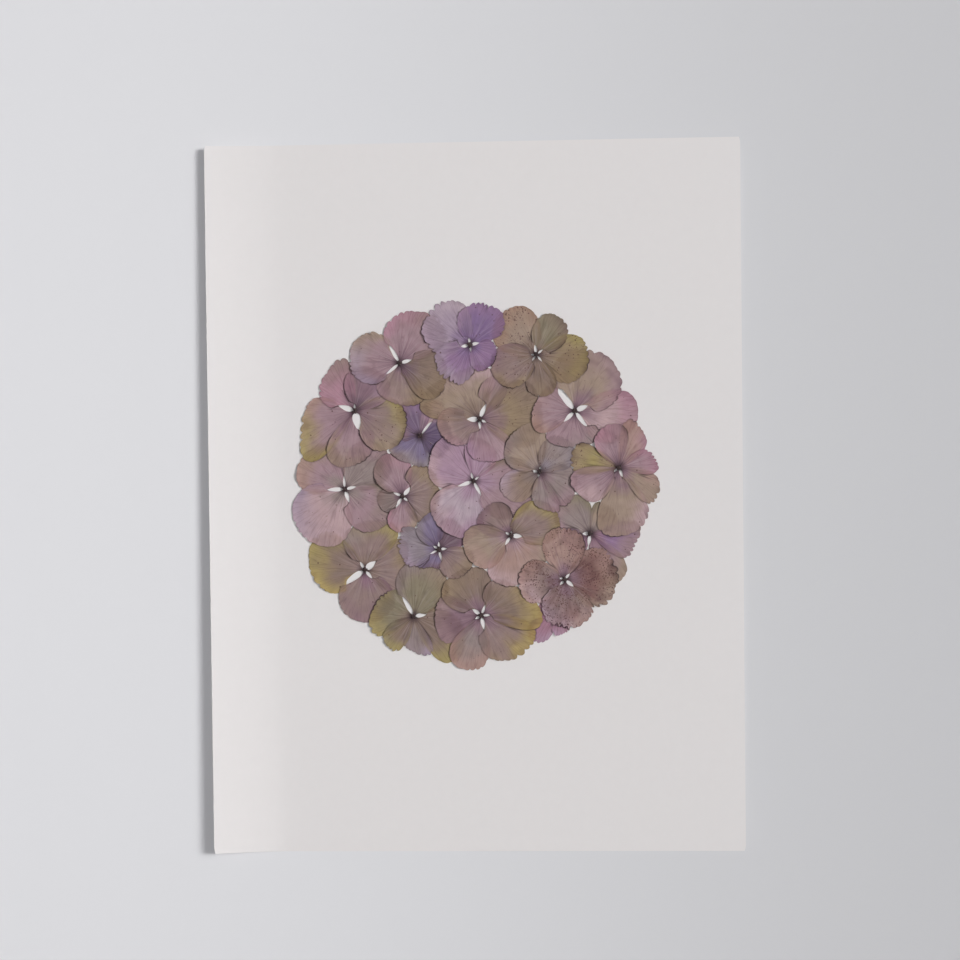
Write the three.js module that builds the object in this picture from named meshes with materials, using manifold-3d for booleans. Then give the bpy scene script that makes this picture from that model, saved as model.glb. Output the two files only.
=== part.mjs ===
// Pressed flower sheet: twenty pressed florets laid in a disc on one upright sheet of heavy paper.
// Millimetres. +X right, +Z up, the face with the flowers looks towards -Y, the back lies at Y = 0.
import * as THREE from 'three';
import { mergeVertices } from 'three/addons/utils/BufferGeometryUtils.js';
import Module from 'manifold-3d';

// Paper sheet
const SHEET_WIDTH = 229;
const SHEET_HEIGHT = 305;
const SHEET_THICKNESS = 0.4;
const CORNER_RADIUS = 0.5;
const CURL_START = -84;
const CURL_TOP = 3;
const CURL_BOTTOM = 5;
const CURL_COLUMNS = 4;
const SHEET_ROWS = 6;

// Pressed florets
const SEPAL_THICKNESS = 0.15;
const SEPAL_STEP = 0.025;
const LEVEL_PITCH = 0.28;
const FIRST_GAP = 0.05;
const BUD_BASE = 1.5;
const BUD_TOP = 0.9;
const BUD_HEIGHT = 0.5;
const BUD_SIDES = 9;
const MARGIN_POINTS = 13;
const SLIT_INSIDE = 42;
const SLIT_OUTSIDE = 25;

// Finish of paper and of dried sepals
const PAPER_COLOUR = 0xd9d7d4;
const PAPER_ROUGHNESS = 0.92;
const SEPAL_ROUGHNESS = 0.8;

// One sepal: the bearings of its two side edges, then its reach at a fifth, a half and four fifths
// of the way across. Bearings run anticlockwise from +X, seen from the front. The first sepal
// listed lies lowest. The bare slits between the claws are given as bearing, length and width.
const sepal = (from, to, reach) => ({ from, to, reach });

const FLORETS = [
  {
    name: 'floret_pink_low',
    at: [35.4, -47.9],
    level: 0,
    bud: false,
    colour: 0xa77d92,
    slits: [],
    sepals: [
      sepal(120, 212, [8, 8.5, 9]),
      sepal(30, 132, [8.5, 8, 8.5]),
      sepal(-60, 42, [9, 9, 8.5]),
      sepal(198, 262, [16.5, 17.8, 15.5]),
      sepal(244, 316, [11.8, 11, 10]),
    ],
  },
  {
    name: 'floret_straw_left',
    at: [-48, -30.4],
    level: 0,
    colour: 0x9c8577,
    slits: [[-50, 4.9, 1.4], [120, 4.2, 1.4], [38, 6, 2.9], [213, 8.8, 2.6]],
    sepals: [
      sepal(-48, 52, [19.5, 18, 23]),
      sepal(118, 238, [27, 24, 19]),
      sepal(34, 140, [25, 21, 19]),
      sepal(200, 340, [18.5, 22.8, 20.3]),
    ],
  },
  {
    name: 'floret_mauve_left',
    at: [-56.2, 4.5],
    level: 1,
    colour: 0xab9497,
    slits: [[93, 5.6, 1.2], [12, 5, 1.4], [180, 7.1, 1.8], [-72, 5.9, 1.8]],
    sepals: [
      sepal(86, 196, [22, 23, 21.5]),
      sepal(-8, 98, [20.5, 24.7, 21]),
      sepal(155, 292, [21, 27, 25]),
      sepal(-98, 16, [19, 23.5, 23.5]),
    ],
  },
  {
    name: 'floret_olive_low',
    at: [-27.1, -50.6],
    level: 1,
    colour: 0x948976,
    slits: [[118, 8.4, 1.9], [8, 4.9, 1.7]],
    sepals: [
      sepal(-72, 34, [28, 23.5, 14]),
      sepal(104, 222, [15.5, 17.5, 21]),
      sepal(238, 308, [14.5, 16, 19.5]),
      sepal(180, 262, [11.5, 17, 17.3]),
      sepal(12, 132, [20, 24, 21.5]),
    ],
  },
  {
    name: 'floret_violet_low',
    at: [49.2, -15.5],
    level: 0,
    colour: 0x98818f,
    slits: [[-98, 5.2, 1.6], [183, 3.4, 1.8]],
    sepals: [
      sepal(8, 92, [14, 14, 15]),
      sepal(78, 180, [17, 18.5, 17.5]),
      sepal(-96, -28, [23, 24.5, 22]),
      sepal(-48, 24, [20, 20.4, 23]),
      sepal(160, 262, [13.5, 12, 11.5]),
    ],
  },
  {
    name: 'floret_brown_low',
    at: [2, -50.5],
    level: 2,
    colour: 0x93807a,
    slits: [[142, 4.8, 1.8], [68, 5.1, 1.3], [210, 3, 1.2], [-78, 6.2, 1.8], [4, 4.1, 1.2]],
    sepals: [
      sepal(138, 232, [20.5, 20, 21.5]),
      sepal(64, 172, [21.5, 21.5, 21]),
      sepal(214, 290, [23, 24.5, 22.3]),
      sepal(-104, 2, [18.8, 23.8, 26.4]),
      sepal(-24, 88, [28.5, 21, 18.3]),
    ],
  },
  {
    name: 'floret_rose_small',
    at: [-31.2, 1.2],
    level: 2,
    colour: 0xa0858a,
    slits: [[158, 4.2, 1.2], [48, 5.2, 1.8], [-45, 3, 1.1], [238, 5.6, 1.4]],
    sepals: [
      sepal(150, 245, [11, 11, 10]),
      sepal(58, 168, [17.2, 19.5, 15.5]),
      sepal(-78, 85, [16, 16, 18]),
      sepal(222, 312, [14, 15.8, 15]),
    ],
  },
  {
    name: 'floret_blue_low',
    at: [-15.9, -21.8],
    level: 3,
    colour: 0x8a7f90,
    slits: [[5, 3.4, 1.2], [208, 4.2, 0.9], [148, 2.8, 1.1], [-77, 4.7, 1.1], [90, 3.2, 1.1]],
    sepals: [
      sepal(0, 92, [14, 14, 15]),
      sepal(205, 285, [12.5, 8.5, 9]),
      sepal(130, 226, [19, 17.3, 16]),
      sepal(-94, 12, [13.8, 15.6, 16]),
      sepal(72, 160, [17, 15.3, 13]),
    ],
  },
  {
    name: 'floret_violet_small',
    at: [-23.2, 27.2],
    level: 3,
    colour: 0x84788f,
    slits: [[53, 6.8, 1]],
    sepals: [
      sepal(30, 92, [15, 17, 15]),
      sepal(186, 300, [16, 13, 14.5]),
      sepal(140, 205, [9, 8, 9]),
      sepal(50, 158, [12.8, 15.5, 15.3]),
      sepal(-72, 60, [14, 13.5, 13.2]),
    ],
  },
  {
    name: 'floret_lilac_middle',
    at: [-0.6, 7.5],
    level: 4,
    colour: 0xac93a1,
    slits: [[106, 3.8, 1.1], [-64, 6.4, 1.3], [38, 2.8, 0.9], [199, 6.6, 1.6]],
    sepals: [
      sepal(96, 204, [24, 21.5, 18.7]),
      sepal(-86, 48, [20, 26.6, 24.8]),
      sepal(26, 112, [15, 17.5, 19.4]),
      sepal(186, 292, [22.5, 25, 25.5]),
    ],
  },
  {
    name: 'floret_rose_left',
    at: [-51.3, 38.2],
    level: 4,
    colour: 0xa28688,
    slits: [[162, 7.3, 2.4], [95, 3, 1.1], [-80, 7.9, 3.5]],
    sepals: [
      sepal(150, 240, [21.5, 24.3, 32.3]),
      sepal(222, 322, [26, 23, 16.5]),
      sepal(84, 176, [25, 20.2, 18]),
      sepal(-84, 42, [22, 23.3, 18.5]),
      sepal(6, 122, [19, 20, 18]),
    ],
  },
  {
    name: 'floret_olive_middle',
    at: [2.3, 34],
    level: 5,
    colour: 0x9d8b82,
    slits: [[66, 7, 2], [-27, 3.2, 1.1], [180, 5.4, 2.4], [274, 4.5, 1.2]],
    sepals: [
      sepal(60, 184, [24.5, 22.6, 28.8]),
      sepal(-48, 60, [27, 27.2, 27.4]),
      sepal(148, 262, [18.5, 17.5, 13.5]),
      sepal(32, 98, [18.5, 19.8, 16.5]),
      sepal(236, 335, [17.5, 19, 21]),
    ],
  },
  {
    name: 'floret_pink_olive',
    at: [15.2, -16.2],
    level: 5,
    colour: 0x9f8a81,
    slits: [[238, 4.8, 1.3], [85, 2, 0.9], [-4, 4.8, 2], [148, 2.8, 1.2]],
    sepals: [
      sepal(220, 362, [22.5, 21, 18.6]),
      sepal(80, 186, [15, 16.4, 15.8]),
      sepal(-34, 96, [19, 22, 14.5]),
      sepal(150, 254, [20, 21, 19]),
    ],
  },
  {
    name: 'floret_grey_middle',
    at: [27.9, 11.2],
    level: 6,
    colour: 0x988b88,
    slits: [[175, 3.9, 1.2], [80, 2.2, 1.1], [252, 2.6, 0.9]],
    sepals: [
      sepal(-72, 22, [19.5, 17.3, 15.6]),
      sepal(166, 262, [16.5, 18.5, 14.5]),
      sepal(70, 184, [22, 20, 16.5]),
      sepal(243, 308, [14, 16.5, 20]),
      sepal(-6, 98, [16.5, 18, 15.5]),
    ],
  },
  {
    name: 'floret_speckled',
    at: [38.1, -35.3],
    level: 6,
    colour: 0xa08880,
    slits: [[-38, 4.9, 1.6], [50, 3.4, 1.2], [162, 2.3, 1.1], [228, 3.2, 1.2]],
    sepals: [
      sepal(-62, 66, [21.2, 22.7, 22]),
      sepal(44, 138, [20, 22.5, 20.5]),
      sepal(128, 240, [17.7, 20, 18]),
      sepal(208, 332, [17.7, 20.8, 20.4]),
    ],
  },
  {
    name: 'floret_mauve_top',
    at: [-31.8, 58.5],
    level: 6,
    colour: 0x9f8780,
    slits: [[220, 6.7, 1.2], [119, 7.6, 1.6], [14, 5.3, 1.6], [-84, 4.4, 1]],
    sepals: [
      sepal(205, 320, [16, 17.6, 20.5]),
      sepal(104, 236, [19, 22, 18.5]),
      sepal(8, 136, [26, 23.5, 18]),
      sepal(-70, 37, [22.5, 21.2, 17.8]),
    ],
  },
  {
    name: 'floret_mauve_right',
    at: [43.2, 37.1],
    level: 7,
    colour: 0xa98f92,
    slits: [[-56, 7.7, 1.8], [225, 6.6, 1.8], [127, 10.2, 2.7], [20, 6, 2.4]],
    sepals: [
      sepal(-75, 38, [18, 26, 26.8]),
      sepal(205, 328, [18.5, 15.5, 17]),
      sepal(102, 226, [15.5, 17, 20.5]),
      sepal(-8, 148, [23.2, 27.2, 22.5]),
    ],
  },
  {
    name: 'floret_rose_rim',
    at: [61.9, 12.5],
    level: 8,
    colour: 0xa18984,
    slits: [[215, 2.9, 1], [-72, 4.5, 1.3]],
    sepals: [
      sepal(136, 196, [21.5, 21, 21]),
      sepal(24, 92, [15.5, 19, 22.5]),
      sepal(238, 316, [30.5, 28.8, 26]),
      sepal(-62, 0, [22, 19.8, 17.3]),
      sepal(174, 250, [22.5, 21, 19]),
      sepal(-20, 52, [17.3, 15.9, 13.6]),
      sepal(66, 150, [18.7, 18.8, 16.5]),
    ],
  },
  {
    name: 'floret_olive_top',
    at: [27, 61.3],
    level: 8,
    colour: 0x9a866f,
    slits: [[98, 4.3, 1.4], [-52, 3.8, 0.9], [233, 3.2, 0.9], [38, 3.5, 0.9], [180, 2.4, 0.9]],
    sepals: [
      sepal(72, 190, [20.5, 23.3, 19]),
      sepal(-68, 48, [19, 22.5, 20.5]),
      sepal(238, 318, [16, 18.2, 17]),
      sepal(5, 112, [15.5, 19, 15.5]),
      sepal(140, 262, [16.5, 20.5, 17.5]),
    ],
  },
  {
    name: 'floret_violet_top',
    at: [-1.4, 65.9],
    level: 9,
    colour: 0x9382a0,
    slits: [[97, 3, 1.1], [12, 3.9, 1.5], [191, 3.9, 1.5], [-83, 3, 0.9]],
    sepals: [
      sepal(78, 212, [20.8, 22.6, 18.3]),
      sepal(5, 138, [19.3, 18.8, 14.5]),
      sepal(158, 290, [14.5, 18, 17]),
      sepal(-98, 28, [12.7, 12.5, 11.2]),
    ],
  },
];

// Solids are joined with the manifold library, then turned back into three.js geometry
const wasm = await Module();
wasm.setup();

function toSolid(geometry) {
  const bare = geometry.clone();
  bare.deleteAttribute('normal');
  bare.deleteAttribute('uv');
  const merged = mergeVertices(bare, 1e-5);
  return new wasm.Manifold(new wasm.Mesh({
    numProp: 3,
    vertProperties: new Float32Array(merged.attributes.position.array),
    triVerts: new Uint32Array(merged.index.array),
  }));
}

function toGeometry(solid) {
  const data = solid.getMesh();
  const geometry = new THREE.BufferGeometry();
  geometry.setAttribute('position', new THREE.BufferAttribute(new Float32Array(data.vertProperties), 3));
  geometry.setIndex(new THREE.BufferAttribute(new Uint32Array(data.triVerts), 1));
  geometry.computeVertexNormals();
  return geometry;
}

// Reach of a sepal: a parabola through its three reaches, rounded off at both sides
function reachAt(one, across) {
  const [first, middle, last] = one.reach;
  const step = (across - 0.5) / 0.3;
  const curve = middle + (last - first) / 2 * step + ((first + last) / 2 - middle) * step * step;
  return curve * Math.sqrt(Math.max(0, 1 - Math.abs(2 * across - 1) ** 4));
}

// Half the opening of a slit at a distance from the bud: a slim lens
function slitHalf(slit, radius) {
  const along = THREE.MathUtils.clamp((radius - 0.8) / (slit[1] - 0.8), 0, 1);
  return slit[2] / 2 * Math.sin(Math.PI * along ** 0.8) ** 0.9;
}

// Bearing of a side edge: it follows the slit close to the bud and runs out to its own bearing
function edgeBearing(outer, slit, side, radius) {
  if (slit === null) {
    return outer;
  }
  const near = slit[0] + 360 * Math.round((outer - slit[0]) / 360);
  const opening = Math.asin(Math.min(0.9, slitHalf(slit, radius) / Math.max(radius, 0.6)));
  const inner = near + side * THREE.MathUtils.radToDeg(opening);
  const blend = THREE.MathUtils.smoothstep(radius, slit[1], slit[1] * 1.6 + 1.5);
  return inner + (outer - inner) * blend;
}

// The slit that opens along a side edge (side 1: the first edge, side -1: the last one)
function slitAlong(floret, one, side) {
  const edge = side > 0 ? one.from : one.to;
  let nearest = null;
  let least = Infinity;
  for (const slit of floret.slits) {
    const turn = THREE.MathUtils.euclideanModulo(slit[0] - edge + 180, 360) - 180;
    const inside = side * turn;
    const limit = inside > 0 ? Math.min(SLIT_INSIDE, (one.to - one.from) / 2) : SLIT_OUTSIDE;
    if (Math.abs(turn) <= limit && Math.abs(turn) < least) {
      nearest = slit;
      least = Math.abs(turn);
    }
  }
  return nearest;
}

// Radii at which a side edge is drawn, the slit's own ones first
function sideRadii(slit) {
  return slit === null ? [5] : [slit[1] * 0.3 + 0.5, slit[1] * 0.66, slit[1] * 0.93];
}

function sepalOutline(floret, one) {
  const before = slitAlong(floret, one, 1);
  const after = slitAlong(floret, one, -1);
  const place = (radius, bearing) => {
    const angle = THREE.MathUtils.degToRad(bearing);
    const [x, z] = floret.at;
    return new THREE.Vector2(x + radius * Math.cos(angle), z + radius * Math.sin(angle));
  };
  const points = [place(0, 0)];
  for (const radius of sideRadii(before)) {
    points.push(place(radius, edgeBearing(one.from, before, 1, radius)));
  }
  for (let i = 0; i < MARGIN_POINTS; i += 1) {
    const across = (1 - Math.cos(Math.PI * (i + 2.6) / (MARGIN_POINTS + 4.2))) / 2;
    const radius = reachAt(one, across);
    const first = edgeBearing(one.from, before, 1, radius);
    const last = edgeBearing(one.to, after, -1, radius);
    if (radius > 1.1 * sideRadii(across < 0.5 ? before : after).at(-1)) {
      points.push(place(radius, first + (last - first) * across));
    }
  }
  for (const radius of sideRadii(after).reverse()) {
    points.push(place(radius, edgeBearing(one.to, after, -1, radius)));
  }
  return points;
}

// A flat plate with its outline in X and Z, from a back plane towards the front
function plate(points, back, thickness) {
  const geometry = new THREE.ExtrudeGeometry(new THREE.Shape(points), {
    depth: thickness,
    bevelEnabled: false,
  });
  geometry.rotateX(Math.PI / 2);
  geometry.translate(0, back, 0);
  return geometry;
}

function floretGeometry(floret) {
  const back = -SHEET_THICKNESS - FIRST_GAP - floret.level * LEVEL_PITCH;
  const parts = floret.sepals.map((one, rank) => {
    const thickness = SEPAL_THICKNESS + rank * SEPAL_STEP;
    return toSolid(plate(sepalOutline(floret, one), back, thickness));
  });
  const height = floret.bud === false ? SEPAL_THICKNESS + 4 * SEPAL_STEP : BUD_HEIGHT;
  const bud = new THREE.CylinderGeometry(BUD_BASE, BUD_TOP, height, BUD_SIDES, 1);
  bud.translate(floret.at[0], back - height / 2, floret.at[1]);
  return toGeometry(parts.reduce((whole, part) => whole.add(part), toSolid(bud)));
}

// How far the sheet stands off the wall: none on the flat part, a soft bow along the left edge
function curlAt(x, z) {
  const across = THREE.MathUtils.clamp((CURL_START - x) / (CURL_START + SHEET_WIDTH / 2), 0, 1);
  const down = 0.5 - z / SHEET_HEIGHT;
  return (CURL_TOP + (CURL_BOTTOM - CURL_TOP) * down) * across * across;
}

// The sheet is a closed shell: rows of front and back points, narrowed at the rounded corners
function sheetGeometry() {
  const columns = [];
  for (let i = 0; i <= CURL_COLUMNS; i += 1) {
    columns.push(-SHEET_WIDTH / 2 + (CURL_START + SHEET_WIDTH / 2) * i / CURL_COLUMNS);
  }
  columns.push(SHEET_WIDTH / 2);
  const rows = [];
  const half = SHEET_HEIGHT / 2;
  for (const turn of [0, 30, 60]) {
    const angle = THREE.MathUtils.degToRad(turn);
    rows.push([half - CORNER_RADIUS * (1 - Math.cos(angle)), CORNER_RADIUS * (1 - Math.sin(angle))]);
  }
  const straight = half - CORNER_RADIUS;
  for (let i = 0; i <= SHEET_ROWS; i += 1) {
    rows.push([straight * (1 - 2 * i / SHEET_ROWS), 0]);
  }
  for (const [z, inset] of rows.slice(0, 3).reverse()) {
    rows.push([-z, inset]);
  }
  const count = columns.length;
  const total = rows.length * count;
  const position = [];
  for (const depth of [SHEET_THICKNESS, 0]) {
    for (const [z, inset] of rows) {
      columns.forEach((column, i) => {
        const shift = i === 0 ? inset : i === count - 1 ? -inset : 0;
        position.push(column + shift, -depth - curlAt(column + shift, z), z);
      });
    }
  }
  const index = [];
  const quad = (a, b, c, d) => index.push(a, b, c, a, c, d);
  for (let r = 0; r < rows.length - 1; r += 1) {
    for (let c = 0; c < count - 1; c += 1) {
      const a = r * count + c;
      quad(a, a + count, a + count + 1, a + 1);
      quad(total + a, total + a + 1, total + a + count + 1, total + a + count);
    }
    const left = r * count;
    const right = left + count - 1;
    quad(left, left + total, left + total + count, left + count);
    quad(right, right + count, right + total + count, right + total);
  }
  const bottom = total - count;
  for (let c = 0; c < count - 1; c += 1) {
    quad(c, c + 1, total + c + 1, total + c);
    quad(bottom + c, bottom + total + c, bottom + total + c + 1, bottom + c + 1);
  }
  const geometry = new THREE.BufferGeometry();
  geometry.setAttribute('position', new THREE.Float32BufferAttribute(position, 3));
  geometry.setIndex(index);
  geometry.computeVertexNormals();
  return geometry;
}

function piece(name, geometry, color, roughness) {
  const material = new THREE.MeshStandardMaterial({ color, roughness, metalness: 0 });
  const mesh = new THREE.Mesh(geometry, material);
  mesh.name = name;
  return mesh;
}

const group = new THREE.Group();
group.name = 'pressed_flower_sheet';
group.add(piece('paper_sheet', sheetGeometry(), PAPER_COLOUR, PAPER_ROUGHNESS));
for (const floret of FLORETS) {
  group.add(piece(floret.name, floretGeometry(floret), floret.colour, SEPAL_ROUGHNESS));
}

export default group;
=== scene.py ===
"""Pressed flower sheet: twenty pressed florets laid in a round patch on heavy upright paper.

Metres in the scene, millimetres in the plans. +Z is up and the flowers look towards -Y.
"""
import logging
import math
from dataclasses import dataclass, field
from enum import Enum

import bpy
import numpy as np
from mathutils import Euler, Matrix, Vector


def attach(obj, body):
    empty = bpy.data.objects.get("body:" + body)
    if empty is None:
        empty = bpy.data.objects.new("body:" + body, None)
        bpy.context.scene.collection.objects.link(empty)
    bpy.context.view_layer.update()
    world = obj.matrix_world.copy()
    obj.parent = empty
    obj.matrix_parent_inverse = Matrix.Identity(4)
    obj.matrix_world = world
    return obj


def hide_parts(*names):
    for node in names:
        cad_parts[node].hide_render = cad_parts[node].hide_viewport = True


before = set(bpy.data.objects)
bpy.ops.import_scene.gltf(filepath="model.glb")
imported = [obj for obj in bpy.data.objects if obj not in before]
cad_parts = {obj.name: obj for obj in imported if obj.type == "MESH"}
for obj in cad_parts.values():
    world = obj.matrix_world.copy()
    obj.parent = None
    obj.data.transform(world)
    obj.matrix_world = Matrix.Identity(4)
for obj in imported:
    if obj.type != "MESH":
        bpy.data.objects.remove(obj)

Array = np.ndarray
Socket, Tree, Material = bpy.types.NodeSocket, bpy.types.NodeTree, bpy.types.Material

LOG = logging.getLogger("pressed_flowers")
MM = 0.001
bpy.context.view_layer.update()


class Tint(Enum):
    """Colours of dried sepals as they look on white paper, red, green and blue of 255."""

    MAUVE = (150, 124, 130)
    DUSK = (128, 102, 112)
    ROSE = (161, 123, 135)
    PINK = (171, 145, 147)
    SALMON = (157, 129, 121)
    LILAC = (153, 135, 150)
    PALE_LILAC = (168, 150, 159)
    ORCHID = (157, 129, 146)
    VIOLET = (137, 109, 138)
    DEEP_VIOLET = (121, 98, 132)
    VIOLET_GREY = (112, 93, 115)
    DARK_VIOLET = (97, 81, 104)
    BLUE_VIOLET = (118, 105, 130)
    GREY_BLUE = (131, 120, 126)
    OLIVE = (139, 120, 98)
    GREEN_OLIVE = (127, 117, 98)
    YELLOW_OLIVE = (150, 135, 92)
    STRAW = (161, 141, 92)
    TAN = (149, 130, 116)
    PEACH = (151, 124, 108)
    BROWN = (126, 107, 97)
    MAUVE_BROWN = (135, 114, 110)
    PLUM = (132, 102, 116)
    DARK_PLUM = (107, 86, 97)
    RUST = (122, 90, 86)
    GREY = (137, 122, 119)
    MAGENTA = (153, 114, 129)
    BUD = (70, 52, 54)

    def linear(self) -> Array:
        """The colour as linear light, the three parts as an array."""
        part = np.array(self.value, dtype=float) / 255.0
        return np.where(part <= 0.04045, part / 12.92, ((part + 0.055) / 1.055) ** 2.4)


@dataclass(frozen=True)
class Sepal:
    """One sepal: bearings of its side edges, its reach in mm, its colours and its margin."""

    start: float
    end: float
    reach: tuple[float, float, float]
    claw: Tint
    belly: Tint
    rim_start: Tint
    rim_end: Tint
    teeth: float = 0.25
    specks: float = 0.015


@dataclass(frozen=True)
class FloretPlan:
    """One floret: its node, its place, the order it was laid in, its slits and its sepals."""

    name: str
    at: tuple[float, float]
    level: int
    slits: tuple[tuple[float, float, float], ...]
    sepals: tuple[Sepal, ...]
    has_bud: bool = True


t = Tint

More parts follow.
